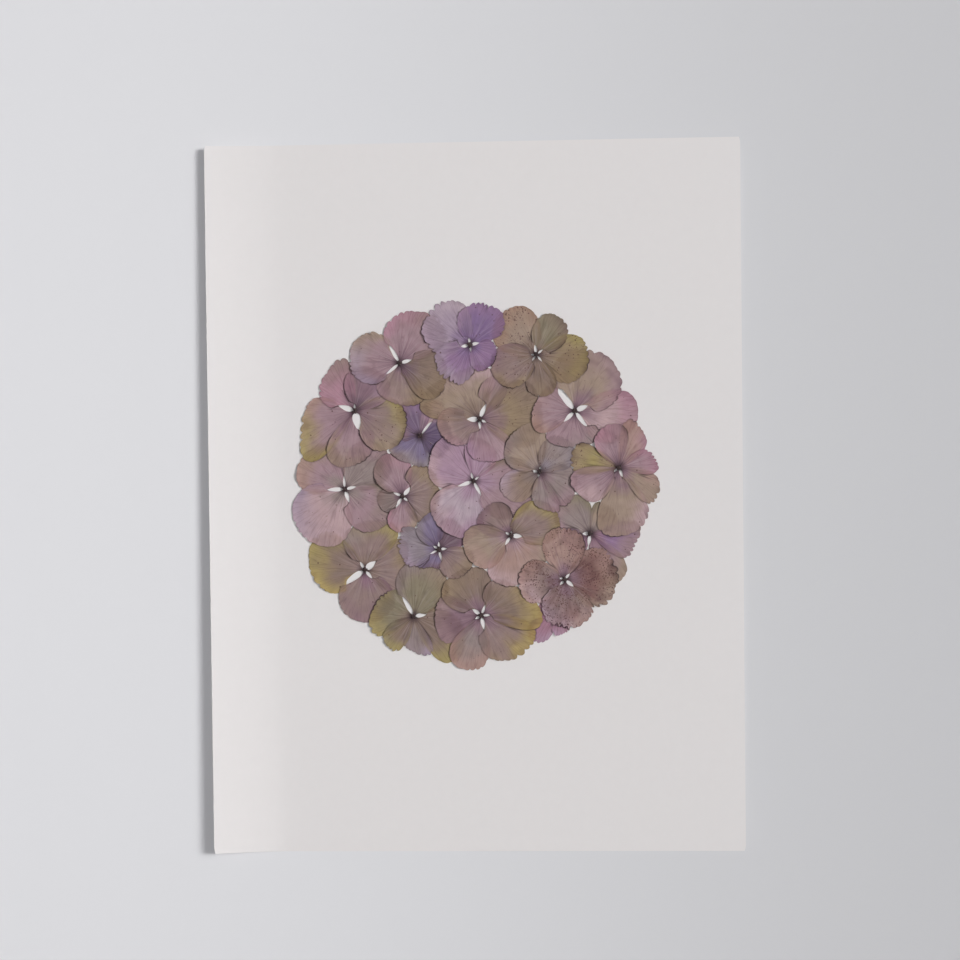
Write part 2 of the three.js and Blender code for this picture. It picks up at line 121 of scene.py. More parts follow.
# The twenty florets, bottom layer first, with t for Tint. In each the lowest sepal comes first.
# Bearings run anticlockwise from +X seen from the front, and reaches are at a fifth, a half and
# four fifths across.
PLANS: tuple[FloretPlan, ...] = (
    FloretPlan("floret_pink_low", (35.4, -47.9), 0, (), (
        Sepal(120, 212, (8, 8.5, 9), t.PLUM, t.MAGENTA, t.MAGENTA, t.MAGENTA),
        Sepal(30, 132, (8.5, 8, 8.5), t.PLUM, t.MAGENTA, t.MAGENTA, t.MAGENTA),
        Sepal(-60, 42, (9, 9, 8.5), t.PLUM, t.MAGENTA, t.MAGENTA, t.MAGENTA),
        Sepal(198, 262, (16.5, 17.8, 15.5), t.PLUM, t.MAGENTA, t.MAGENTA, t.ORCHID, 0.35),
        Sepal(244, 316, (11.8, 11, 10), t.PLUM, t.MAGENTA, t.ORCHID, t.ROSE, 0.4),
    ), has_bud=False),
    FloretPlan("floret_straw_left", (-48.0, -30.4), 0,
               ((-50, 4.9, 1.4), (120, 4.2, 1.4), (38, 6, 2.9), (213, 8.8, 2.6)), (
        Sepal(-48, 52, (19.5, 18, 23), t.BROWN, t.MAUVE_BROWN, t.MAUVE_BROWN, t.OLIVE),
        Sepal(118, 238, (27, 24, 19), t.MAUVE_BROWN, t.BROWN, t.YELLOW_OLIVE, t.STRAW, 0.45),
        Sepal(34, 140, (25, 21, 19), t.BROWN, t.MAUVE_BROWN, t.YELLOW_OLIVE, t.GREY),
        Sepal(200, 340, (18.5, 22.8, 20.3), t.PLUM, t.MAUVE_BROWN, t.MAUVE_BROWN, t.PLUM),
    )),
    FloretPlan("floret_mauve_left", (-56.2, 4.5), 1,
               ((93, 5.6, 1.2), (12, 5, 1.4), (180, 7.1, 1.8), (-72, 5.9, 1.8)), (
        Sepal(86, 196, (22, 23, 21.5), t.GREY, t.MAUVE, t.TAN, t.SALMON, 0.35),
        Sepal(-8, 98, (20.5, 24.7, 21), t.GREY, t.GREY, t.MAUVE_BROWN, t.MAUVE),
        Sepal(155, 292, (21, 27, 25), t.GREY, t.PINK, t.LILAC, t.PINK, 0.35),
        Sepal(-98, 16, (19, 23.5, 23.5), t.GREY, t.MAUVE, t.MAUVE, t.GREEN_OLIVE),
    )),
    FloretPlan("floret_olive_low", (-27.1, -50.6), 1, ((118, 8.4, 1.9), (8, 4.9, 1.7)), (
        Sepal(-72, 34, (28, 23.5, 14), t.BROWN, t.BROWN, t.YELLOW_OLIVE, t.OLIVE, 0.6),
        Sepal(104, 222, (15.5, 17.5, 21), t.BROWN, t.GREEN_OLIVE, t.GREEN_OLIVE, t.YELLOW_OLIVE, 0.5),
        Sepal(238, 308, (14.5, 16, 19.5), t.BROWN, t.GREY, t.GREY, t.LILAC, 0.5),
        Sepal(180, 262, (11.5, 17, 17.3), t.BROWN, t.BROWN, t.GREEN_OLIVE, t.YELLOW_OLIVE, 0.6),
        Sepal(12, 132, (20, 24, 21.5), t.GREEN_OLIVE, t.GREEN_OLIVE, t.OLIVE, t.GREY),
    )),
    FloretPlan("floret_violet_low", (49.2, -15.5), 0, ((-98, 5.2, 1.6), (183, 3.4, 1.8)), (
        Sepal(8, 92, (14, 14, 15), t.GREY, t.TAN, t.TAN, t.GREEN_OLIVE),
        Sepal(78, 180, (17, 18.5, 17.5), t.GREY, t.GREY, t.GREEN_OLIVE, t.MAUVE),
        Sepal(-96, -28, (23, 24.5, 22), t.PLUM, t.MAUVE, t.TAN, t.TAN, 0.4),
        Sepal(-48, 24, (20, 20.4, 23), t.PLUM, t.VIOLET, t.MAUVE, t.MAUVE_BROWN, 0.5),
        Sepal(160, 262, (13.5, 12, 11.5), t.PLUM, t.PLUM, t.VIOLET, t.MAUVE),
    )),
    FloretPlan("floret_brown_low", (2.0, -50.5), 2,
               ((142, 4.8, 1.8), (68, 5.1, 1.3), (210, 3, 1.2), (-78, 6.2, 1.8), (4, 4.1, 1.2)), (
        Sepal(138, 232, (20.5, 20, 21.5), t.DUSK, t.DUSK, t.MAUVE_BROWN, t.MAUVE),
        Sepal(64, 172, (21.5, 21.5, 21), t.DUSK, t.BROWN, t.BROWN, t.OLIVE),
        Sepal(214, 290, (23, 24.5, 22.3), t.DUSK, t.GREY, t.SALMON, t.SALMON, 0.35),
        Sepal(-104, 2, (18.8, 23.8, 26.4), t.DUSK, t.MAUVE_BROWN, t.MAUVE_BROWN, t.STRAW, 0.6),
        Sepal(-24, 88, (28.5, 21, 18.3), t.DUSK, t.BROWN, t.STRAW, t.MAUVE_BROWN),
    )),
    FloretPlan("floret_rose_small", (-31.2, 1.2), 2,
               ((158, 4.2, 1.2), (48, 5.2, 1.8), (-45, 3, 1.1), (238, 5.6, 1.4)), (
        Sepal(150, 245, (11, 11, 10), t.DUSK, t.GREY, t.MAUVE_BROWN, t.GREY),
        Sepal(58, 168, (17.2, 19.5, 15.5), t.DUSK, t.MAUVE, t.ROSE, t.MAUVE_BROWN),
        Sepal(-78, 85, (16, 16, 18), t.DARK_PLUM, t.MAUVE_BROWN, t.BROWN, t.OLIVE),
        Sepal(222, 312, (14, 15.8, 15), t.DUSK, t.MAUVE, t.ROSE, t.TAN),
    )),
    FloretPlan("floret_blue_low", (-15.9, -21.8), 3,
               ((5, 3.4, 1.2), (208, 4.2, 0.9), (148, 2.8, 1.1), (-77, 4.7, 1.1), (90, 3.2, 1.1)), (
        Sepal(0, 92, (14, 14, 15), t.DARK_PLUM, t.DARK_PLUM, t.PLUM, t.DUSK),
        Sepal(205, 285, (12.5, 8.5, 9), t.DUSK, t.BLUE_VIOLET, t.BLUE_VIOLET, t.DUSK),
        Sepal(130, 226, (19, 17.3, 16), t.BLUE_VIOLET, t.GREY_BLUE, t.GREY_BLUE, t.LILAC, 0.8),
        Sepal(-94, 12, (13.8, 15.6, 16), t.DARK_PLUM, t.MAUVE_BROWN, t.MAUVE_BROWN, t.OLIVE),
        Sepal(72, 160, (17, 15.3, 13), t.DARK_VIOLET, t.BLUE_VIOLET, t.BLUE_VIOLET, t.GREY_BLUE),
    )),
    FloretPlan("floret_violet_small", (-23.2, 27.2), 3, ((53, 6.8, 1),), (
        Sepal(30, 92, (15, 17, 15), t.MAUVE, t.PINK, t.PINK, t.PINK),
        Sepal(186, 300, (16, 13, 14.5), t.BLUE_VIOLET, t.BLUE_VIOLET, t.GREY, t.GREY_BLUE),
        Sepal(140, 205, (9, 8, 9), t.VIOLET_GREY, t.VIOLET_GREY, t.DUSK, t.DUSK),
        Sepal(50, 158, (12.8, 15.5, 15.3), t.VIOLET_GREY, t.VIOLET_GREY, t.VIOLET, t.DUSK),
        Sepal(-72, 60, (14, 13.5, 13.2), t.DARK_VIOLET, t.DARK_VIOLET, t.DARK_VIOLET, t.VIOLET_GREY),
    )),
    FloretPlan("floret_lilac_middle", (-0.6, 7.5), 4,
               ((106, 3.8, 1.1), (-64, 6.4, 1.3), (38, 2.8, 0.9), (199, 6.6, 1.6)), (
        Sepal(96, 204, (24, 21.5, 18.7), t.ORCHID, t.ORCHID, t.ORCHID, t.PINK),
        Sepal(-86, 48, (20, 26.6, 24.8), t.ORCHID, t.MAUVE, t.MAUVE, t.BROWN),
        Sepal(26, 112, (15, 17.5, 19.4), t.ORCHID, t.ORCHID, t.ROSE, t.ORCHID),
        Sepal(186, 292, (22.5, 25, 25.5), t.ORCHID, t.PALE_LILAC, t.PINK, t.ORCHID),
    )),
    FloretPlan("floret_rose_left", (-51.3, 38.2), 4, ((162, 7.3, 2.4), (95, 3, 1.1), (-80, 7.9, 3.5)), (
        Sepal(150, 240, (21.5, 24.3, 32.3), t.DUSK, t.MAUVE, t.SALMON, t.YELLOW_OLIVE, 0.6),
        Sepal(222, 322, (26, 23, 16.5), t.DUSK, t.MAUVE, t.TAN, t.MAUVE),
        Sepal(84, 176, (25, 20.2, 18), t.DUSK, t.ROSE, t.MAUVE_BROWN, t.ROSE, 0.6),
        Sepal(-84, 42, (22, 23.3, 18.5), t.DUSK, t.MAUVE_BROWN, t.TAN, t.YELLOW_OLIVE, 0.3, 0.12),
        Sepal(6, 122, (19, 20, 18), t.DARK_PLUM, t.DUSK, t.ORCHID, t.DUSK),
    )),
    FloretPlan("floret_olive_middle", (2.3, 34.0), 5,
               ((66, 7, 2), (-27, 3.2, 1.1), (180, 5.4, 2.4), (274, 4.5, 1.2)), (
        Sepal(60, 184, (24.5, 22.6, 28.8), t.BROWN, t.TAN, t.PINK, t.OLIVE),
        Sepal(-48, 60, (27, 27.2, 27.4), t.DUSK, t.OLIVE, t.OLIVE, t.BROWN, 0.4, 0.06),
        Sepal(148, 262, (18.5, 17.5, 13.5), t.DUSK, t.MAUVE_BROWN, t.SALMON, t.MAUVE),
        Sepal(32, 98, (18.5, 19.8, 16.5), t.DUSK, t.MAUVE_BROWN, t.MAUVE_BROWN, t.MAUVE),
        Sepal(236, 335, (17.5, 19, 21), t.DUSK, t.MAUVE, t.ORCHID, t.PINK),
    )),
    FloretPlan("floret_pink_olive", (15.2, -16.2), 5,
               ((238, 4.8, 1.3), (85, 2, 0.9), (-4, 4.8, 2), (148, 2.8, 1.2)), (
        Sepal(220, 362, (22.5, 21, 18.6), t.MAUVE, t.SALMON, t.PINK, t.TAN),
        Sepal(80, 186, (15, 16.4, 15.8), t.DUSK, t.MAUVE_BROWN, t.MAUVE_BROWN, t.DUSK),
        Sepal(-34, 96, (19, 22, 14.5), t.BROWN, t.MAUVE_BROWN, t.OLIVE, t.YELLOW_OLIVE),
        Sepal(150, 254, (20, 21, 19), t.MAUVE, t.TAN, t.TAN, t.SALMON),
    )),
    FloretPlan("floret_grey_middle", (27.9, 11.2), 6, ((175, 3.9, 1.2), (80, 2.2, 1.1), (252, 2.6, 0.9)), (
        Sepal(-72, 22, (19.5, 17.3, 15.6), t.DUSK, t.GREY, t.MAUVE, t.GREY),
        Sepal(166, 262, (16.5, 18.5, 14.5), t.GREY, t.TAN, t.PALE_LILAC, t.TAN),
        Sepal(70, 184, (22, 20, 16.5), t.GREY, t.TAN, t.TAN, t.GREY),
        Sepal(243, 308, (14, 16.5, 20), t.DUSK, t.GREY, t.GREY, t.MAUVE, 0.5),
        Sepal(-6, 98, (16.5, 18, 15.5), t.GREY_BLUE, t.GREY, t.GREY_BLUE, t.GREY, 0.3, 0.1),
    )),
    FloretPlan("floret_speckled", (38.1, -35.3), 6,
               ((-38, 4.9, 1.6), (50, 3.4, 1.2), (162, 2.3, 1.1), (228, 3.2, 1.2)), (
        Sepal(-62, 66, (21.2, 22.7, 22), t.DUSK, t.RUST, t.TAN, t.SALMON, 0.9, 1.0),
        Sepal(44, 138, (20, 22.5, 20.5), t.DUSK, t.SALMON, t.SALMON, t.SALMON, 0.5, 0.8),
        Sepal(128, 240, (17.7, 20, 18), t.DUSK, t.MAUVE_BROWN, t.SALMON, t.PINK, 0.5, 0.8),
        Sepal(208, 332, (17.7, 20.8, 20.4), t.DUSK, t.MAUVE_BROWN, t.PALE_LILAC, t.SALMON, 0.9, 0.7),
    )),
    FloretPlan("floret_mauve_top", (-31.8, 58.5), 6,
               ((220, 6.7, 1.2), (119, 7.6, 1.6), (14, 5.3, 1.6), (-84, 4.4, 1)), (
        Sepal(205, 320, (16, 17.6, 20.5), t.DUSK, t.MAUVE_BROWN, t.MAUVE, t.OLIVE),
        Sepal(104, 236, (19, 22, 18.5), t.DUSK, t.MAUVE, t.TAN, t.LILAC, 0.5),
        Sepal(8, 136, (26, 23.5, 18), t.DUSK, t.MAUVE, t.MAUVE_BROWN, t.ROSE, 0.5),
        Sepal(-70, 37, (22.5, 21.2, 17.8), t.DARK_PLUM, t.BROWN, t.OLIVE, t.BROWN),
    )),
    FloretPlan("floret_mauve_right", (43.2, 37.1), 7,
               ((-56, 7.7, 1.8), (225, 6.6, 1.8), (127, 10.2, 2.7), (20, 6, 2.4)), (
        Sepal(-75, 38, (18, 26, 26.8), t.DUSK, t.PINK, t.PINK, t.ROSE, 0.3),
        Sepal(205, 328, (18.5, 15.5, 17), t.DUSK, t.MAUVE, t.MAUVE, t.GREY),
        Sepal(102, 226, (15.5, 17, 20.5), t.DUSK, t.MAUVE, t.MAUVE, t.SALMON),
        Sepal(-8, 148, (23.2, 27.2, 22.5), t.DUSK, t.TAN, t.MAUVE, t.TAN, 0.6),
    )),
    FloretPlan("floret_rose_rim", (61.9, 12.5), 8, ((215, 2.9, 1), (-72, 4.5, 1.3)), (
        Sepal(136, 196, (21.5, 21, 21), t.OLIVE, t.YELLOW_OLIVE, t.OLIVE, t.OLIVE, 0.6, 0.2),
        Sepal(24, 92, (15.5, 19, 22.5), t.DUSK, t.SALMON, t.ROSE, t.SALMON, 0.4),
        Sepal(238, 316, (30.5, 28.8, 26), t.DUSK, t.TAN, t.TAN, t.PINK, 0.5),
        Sepal(-62, 0, (22, 19.8, 17.3), t.DUSK, t.TAN, t.TAN, t.SALMON, 0.5),
        Sepal(174, 250, (22.5, 21, 19), t.DUSK, t.MAUVE, t.MAUVE, t.PINK),
        Sepal(-20, 52, (17.3, 15.9, 13.6), t.DUSK, t.MAUVE, t.ROSE, t.ROSE, 0.4),
        Sepal(66, 150, (18.7, 18.8, 16.5), t.DUSK, t.MAUVE, t.MAUVE, t.ROSE),
    )),
    FloretPlan("floret_olive_top", (27.0, 61.3), 8,
               ((98, 4.3, 1.4), (-52, 3.8, 0.9), (233, 3.2, 0.9), (38, 3.5, 0.9), (180, 2.4, 0.9)), (
        Sepal(72, 190, (20.5, 23.3, 19), t.BROWN, t.TAN, t.PEACH, t.PEACH, 0.3, 0.35),
        Sepal(-68, 48, (19, 22.5, 20.5), t.BROWN, t.OLIVE, t.OLIVE, t.YELLOW_OLIVE, 0.45, 0.2),
        Sepal(238, 318, (16, 18.2, 17), t.BROWN, t.BROWN, t.BROWN, t.OLIVE),
        Sepal(5, 112, (15.5, 19, 15.5), t.BROWN, t.GREEN_OLIVE, t.BROWN, t.GREEN_OLIVE, 0.4),
        Sepal(140, 262, (16.5, 20.5, 17.5), t.BROWN, t.MAUVE_BROWN, t.DUSK, t.OLIVE, 0.3, 0.12),
    )),
    FloretPlan("floret_violet_top", (-1.4, 65.9), 9,
               ((97, 3, 1.1), (12, 3.9, 1.5), (191, 3.9, 1.5), (-83, 3, 0.9)), (
        Sepal(78, 212, (20.8, 22.6, 18.3), t.DEEP_VIOLET, t.LILAC, t.PALE_LILAC, t.LILAC, 0.9),
        Sepal(5, 138, (19.3, 18.8, 14.5), t.DEEP_VIOLET, t.DEEP_VIOLET, t.VIOLET, t.VIOLET, 0.7),
        Sepal(158, 290, (14.5, 18, 17), t.DEEP_VIOLET, t.VIOLET, t.LILAC, t.LILAC, 1.0),
        Sepal(-98, 28, (12.7, 12.5, 11.2), t.DEEP_VIOLET, t.VIOLET, t.VIOLET, t.VIOLET, 0.3),
    )),
)


def smooth(low: float, high: float, value: Array) -> Array:
    """An S-shaped step from 0 at low to 1 at high: 3 t squared less 2 t cubed."""
    t = np.clip((value - low) / (high - low), 0.0, 1.0)
    return t * t * (3.0 - 2.0 * t)


def drape(inside: Array) -> Array:
    """Share of a sepal's thickness that bridges up over its margin, from 3 mm outside it."""
    return smooth(-3.0, -0.25, inside)


def ripple(x: Array, z: Array, scale: float, seed: int) -> Array:
    """A soft random field, about -1 to 1: seven added plane waves with random directions.

    Args:
        x: Places along the sheet, in mm.
        z: Places up the sheet, in mm.
        scale: Typical wavelength, in mm.
        seed: Seed of the directions and phases.

    Returns:
        The field at each place.
    """
    rng = np.random.default_rng(seed)
    total = np.zeros(np.broadcast(x, z).shape)
    for angle, phase, stretch in zip(rng.uniform(0, math.tau, 7), rng.uniform(0, math.tau, 7),
                                     rng.uniform(0.7, 1.6, 7)):
        wave = math.tau / (scale * stretch)
        total += np.sin(wave * (x * math.cos(angle) + z * math.sin(angle)) + phase)
    return total / 4.0


def wander(x: Array, z: Array, scale: float, seed: int) -> Array:
    """The same field moved and cut to run from 0 to 1."""
    return np.clip(0.5 + 0.5 * ripple(x, z, scale, seed), 0.0, 1.0)


class SepalShape:
    """The outline of one sepal as formulas of bearing and distance from the bud.

    Args:
        plan: The floret that the sepal belongs to.
        sepal: The sepal.
        number: Its place in the whole stack, which seeds its ragged margin.
    """

    INSIDE = 42.0
    OUTSIDE = 25.0

    def __init__(self, plan: FloretPlan, sepal: Sepal, number: int) -> None:
        """Finds the slits along both side edges and tables the margin."""
        self.plan, self.sepal, self.number = plan, sepal, number
        self.before = self._slit_along(sepal.start, 1.0)
        self.after = self._slit_along(sepal.end, -1.0)
        self._across = np.linspace(0.0, 1.0, 241)
        self._margin = self.margin(self._across)

    def _slit_along(self, edge: float, side: float) -> tuple[float, float, float] | None:
        """The nearest slit to a side edge, up to 42 degrees inside it or 25 outside it.

        Args:
            edge: Bearing of the side edge.
            side: 1 for the first edge, -1 for the last one.

        Returns:
            The slit's bearing, length and width, or None.
        """
        best, least = None, math.inf
        half = (self.sepal.end - self.sepal.start) / 2.0
        for slit in self.plan.slits:
            turn = (slit[0] - edge + 180.0) % 360.0 - 180.0
            limit = min(self.INSIDE, half) if side * turn > 0 else self.OUTSIDE
            if abs(turn) <= limit and abs(turn) < least:
                best, least = slit, abs(turn)
        return best

    def margin(self, across: Array) -> Array:
        """Reach of the margin in mm: a parabola through the three reaches, times a rounded cap.

        The cap is the root of 1 less the fourth power of the distance from the middle. Broad
        waves and narrow notches are cut into it; the notches are a power of 1 less the size of
        a sine whose pitch wanders, and they swell and fade along the margin.

        Args:
            across: From 0 at the first edge to 1 at the last.

        Returns:
            Distance of the margin from the bud.
        """
        first, middle, last = self.sepal.reach
        step = (across - 0.5) / 0.3
        curve = middle + (last - first) / 2 * step + ((first + last) / 2 - middle) * step ** 2
        cap = np.sqrt(np.clip(1.0 - np.abs(2.0 * across - 1.0) ** 4, 0.0, 1.0))
        arc = across * (self.sepal.end - self.sepal.start) * 0.37
        phase = self.number * 1.7
        waves = np.sin(arc * 0.55 + phase) + 0.5 * np.sin(arc * 1.3 + 2.0 * phase)
        swell = smooth(-0.5, 0.6, np.sin(arc * 0.31 + 3.0 * phase))
        notch = (1.0 - np.abs(np.sin(arc * 1.2 + 0.8 * np.sin(arc * 0.43 + phase)))) ** 1.4
        bite = self.sepal.teeth * (0.4 * waves + (0.7 + 1.6 * swell) * notch)
        return curve * cap - bite * np.sqrt(cap)

    def edge(self, radius: Array, side: float) -> Array:
        """Bearing of a side edge: along the slit close to the bud, then out to its own bearing.

        The slit is a slim lens. Half its width over the distance gives the angle by which the
        edge stands off the slit's middle.

        Args:
            radius: Distance from the bud in mm.
            side: 1 for the first edge, -1 for the last one.

        Returns:
            The bearing in degrees.
        """
        outer = self.sepal.start if side > 0 else self.sepal.end
        slit = self.before if side > 0 else self.after
        if slit is None:
            return np.full(np.shape(radius), float(outer))
        bearing, length, width = slit
        near = bearing + 360.0 * round((outer - bearing) / 360.0)
        along = np.clip((radius - 0.8) / (length - 0.8), 0.0, 1.0)
        half = width / 2 * np.sin(np.pi * along ** 0.8) ** 0.9
        inner = near + side * np.degrees(np.arcsin(np.minimum(0.9, half / np.maximum(radius, 0.6))))
        return inner + (outer - inner) * smooth(length * 0.95, length * 1.3 + 1.0, radius)

    def place(self, across: Array, reach: Array) -> tuple[Array, ...]:
        """Points of the sepal for fractions across and along it.

        Args:
            across: From 0 at the first edge to 1 at the last.
            reach: From 0 at the bud to 1 at the margin.

        Returns:
            x and z in mm, the bearing in degrees and the distance from the bud in mm.
        """
        radius = self.margin(across) * reach
        first, last = self.edge(radius, 1.0), self.edge(radius, -1.0)
        bearing = first + (last - first) * across
        angle = np.radians(bearing)
        x = self.plan.at[0] + radius * np.cos(angle)
        z = self.plan.at[1] + radius * np.sin(angle)
        return x, z, bearing, radius

    def locate(self, x: Array, z: Array) -> tuple[Array, Array, Array]:
        """The inverse of place: where points of the sheet lie in this sepal.

        Args:
            x: Places along the sheet in mm.
            z: Places up the sheet in mm.

        Returns:
            Fraction across, fraction of the reach, and the distance inside the margin in mm,
            which is negative outside.
        """
        dx, dz = x - self.plan.at[0], z - self.plan.at[1]
        radius = np.hypot(dx, dz)
        first, last = self.edge(radius, 1.0), self.edge(radius, -1.0)
        turn = (np.degrees(np.arctan2(dz, dx)) - (first + last) / 2 + 180.0) % 360.0 - 180.0
        width = np.maximum(last - first, 1.0)
        across = 0.5 + turn / width
        held = np.clip(across, 0.0, 1.0)
        margin = np.interp(held, self._across, self._margin)
        slope = np.interp(held, self._across, np.gradient(self._margin, self._across))
        slope = slope / np.maximum(np.radians(width) * radius, 1.0)
        inside = (margin - radius) / np.sqrt(1.0 + slope ** 2)
        beyond = np.abs(turn) - width / 2
        gap = np.where(beyond > 90.0, radius, radius * np.sin(np.radians(np.clip(beyond, 0, 90))))
        inside = np.where(beyond > 0, -np.hypot(gap, np.maximum(-inside, 0.0)), inside)
        return across, radius / np.maximum(margin, 0.1), inside

    def colour(self, x: Array, z: Array, across: Array, reach: Array) -> Array:
        """Linear colour of the sepal by itself: claw to belly to margin, blotched."""
        sepal, number = self.sepal, self.number
        blot = ripple(x, z, 11.0, 40 + number)
        drift = reach + 0.09 * blot + 0.04 * ripple(x, z, 4.5, 140 + number)
        swing = smooth(0.15, 0.85, across + 0.12 * blot)[:, None]
        outer = sepal.rim_start.linear() * (1 - swing) + sepal.rim_end.linear() * swing
        inner = smooth(0.12, 0.5, drift)[:, None]
        base = sepal.claw.linear() * (1 - inner) + sepal.belly.linear() * inner
        edge = smooth(0.5, 0.98, drift)[:, None]
        tone = 1.0 + 0.05 * ripple(x, z, 5.0, 240 + number)[:, None]
        return (base * (1 - edge) + outer * edge) * tone


@dataclass
class MeshParts:
    """Vertices, quads and vertex values of the pieces of one floret, ready to be joined."""

    points: list[Array] = field(default_factory=list)
    quads: list[Array] = field(default_factory=list)
    slots: list[Array] = field(default_factory=list)
    soft: list[Array] = field(default_factory=list)
    values: dict[str, list[Array]] = field(default_factory=dict)

    def add(self, points: Array, quads: Array, slot: int, cut: int = 0,
            **values: Array) -> None:
        """Adds one closed surface.

        Args:
            points: Vertices in mm, one row each.
            quads: Vertex numbers of each quad, facing out.
            slot: Material slot of its faces.
            cut: How many of the last quads are a cut edge, which stays crisp.
            values: Named vertex values, one row per vertex. Surfaces that leave some out come
                last, and get zeros.
        """
        offset = sum(len(p) for p in self.points)
        self.points.append(points * MM)
        self.quads.append(quads + offset)
        self.slots.append(np.full(len(quads), slot))
        self.soft.append(np.arange(len(quads)) < len(quads) - cut)
        for name, value in values.items():
            self.values.setdefault(name, []).append(value)

    def build(self, name: str) -> bpy.types.Object:
        """Makes the object, with its attributes and UV map, at the origin.

        Args:
            name: Name of the object and its mesh.

        Returns:
            The linked object.
        """
        points, quads = np.concatenate(self.points), np.concatenate(self.quads)
        slots, soft = np.concatenate(self.slots), np.concatenate(self.soft)
        mesh = bpy.data.meshes.new(name)
        mesh.vertices.add(len(points))
        mesh.vertices.foreach_set("co", points.astype(np.float32).ravel())
        mesh.loops.add(quads.size)
        mesh.loops.foreach_set("vertex_index", quads.astype(np.int32).ravel())
        mesh.polygons.add(len(quads))
        mesh.polygons.foreach_set("loop_start", np.arange(0, quads.size, 4, dtype=np.int32))
        mesh.polygons.foreach_set("material_index", slots.astype(np.int32))
        mesh.update(calc_edges=True)
        mesh.polygons.foreach_set("use_smooth", soft)
        sides = np.zeros(quads.size, dtype=np.int32)
        mesh.loops.foreach_get("edge_index", sides)
        sharp = np.zeros(len(mesh.edges), dtype=bool)
        sharp[sides[np.repeat(~soft, 4)]] = True
        mesh.edges.foreach_set("use_edge_sharp", sharp)
        for key, rows in self.values.items():
            value = np.concatenate(rows).astype(np.float32)
            rest = np.zeros((len(points) - len(value), *value.shape[1:]), dtype=np.float32)
            value = np.concatenate([value, rest])
            if key == "uv":
                layer = mesh.uv_layers.new(name="Span")
                layer.uv.foreach_set("vector", value[quads.ravel()].ravel())
            elif value.ndim == 2:
                layer = mesh.attributes.new(key, "FLOAT_COLOR", "POINT")
                layer.data.foreach_set("color", value.ravel())
            else:
                layer = mesh.attributes.new(key, "FLOAT", "POINT")
                layer.data.foreach_set("value", value)
        mesh.validate()
        piece = bpy.data.objects.new(name, mesh)
        bpy.context.scene.collection.objects.link(piece)
        return piece


def shell_quads(rows: int, columns: int) -> tuple[Array, int]:
    """Quads of a closed sheet: a front grid, a back grid and the strip that joins their borders.

    Vertices run row by row, all of the front ones first. Rows grow away from the bud and columns
    grow anticlockwise as seen from the front.

    Args:
        rows: Rows of the grid.
        columns: Columns of the grid.

    Returns:
        Vertex numbers of each quad, facing out, and how many of the last ones are the strip.
    """
    count = rows * columns
    grid = np.arange(count).reshape(rows, columns)
    front = np.stack([grid[:-1, :-1], grid[1:, :-1], grid[1:, 1:], grid[:-1, 1:]],
                     axis=-1).reshape(-1, 4)
    loop = np.concatenate([grid[0, :-1], grid[:-1, -1], grid[-1, :0:-1], grid[:0:-1, 0]])
    ahead = np.roll(loop, -1)
    rim = np.stack([loop, ahead, ahead + count, loop + count], axis=-1)
    return np.concatenate([front, front[:, ::-1] + count, rim]), len(rim)


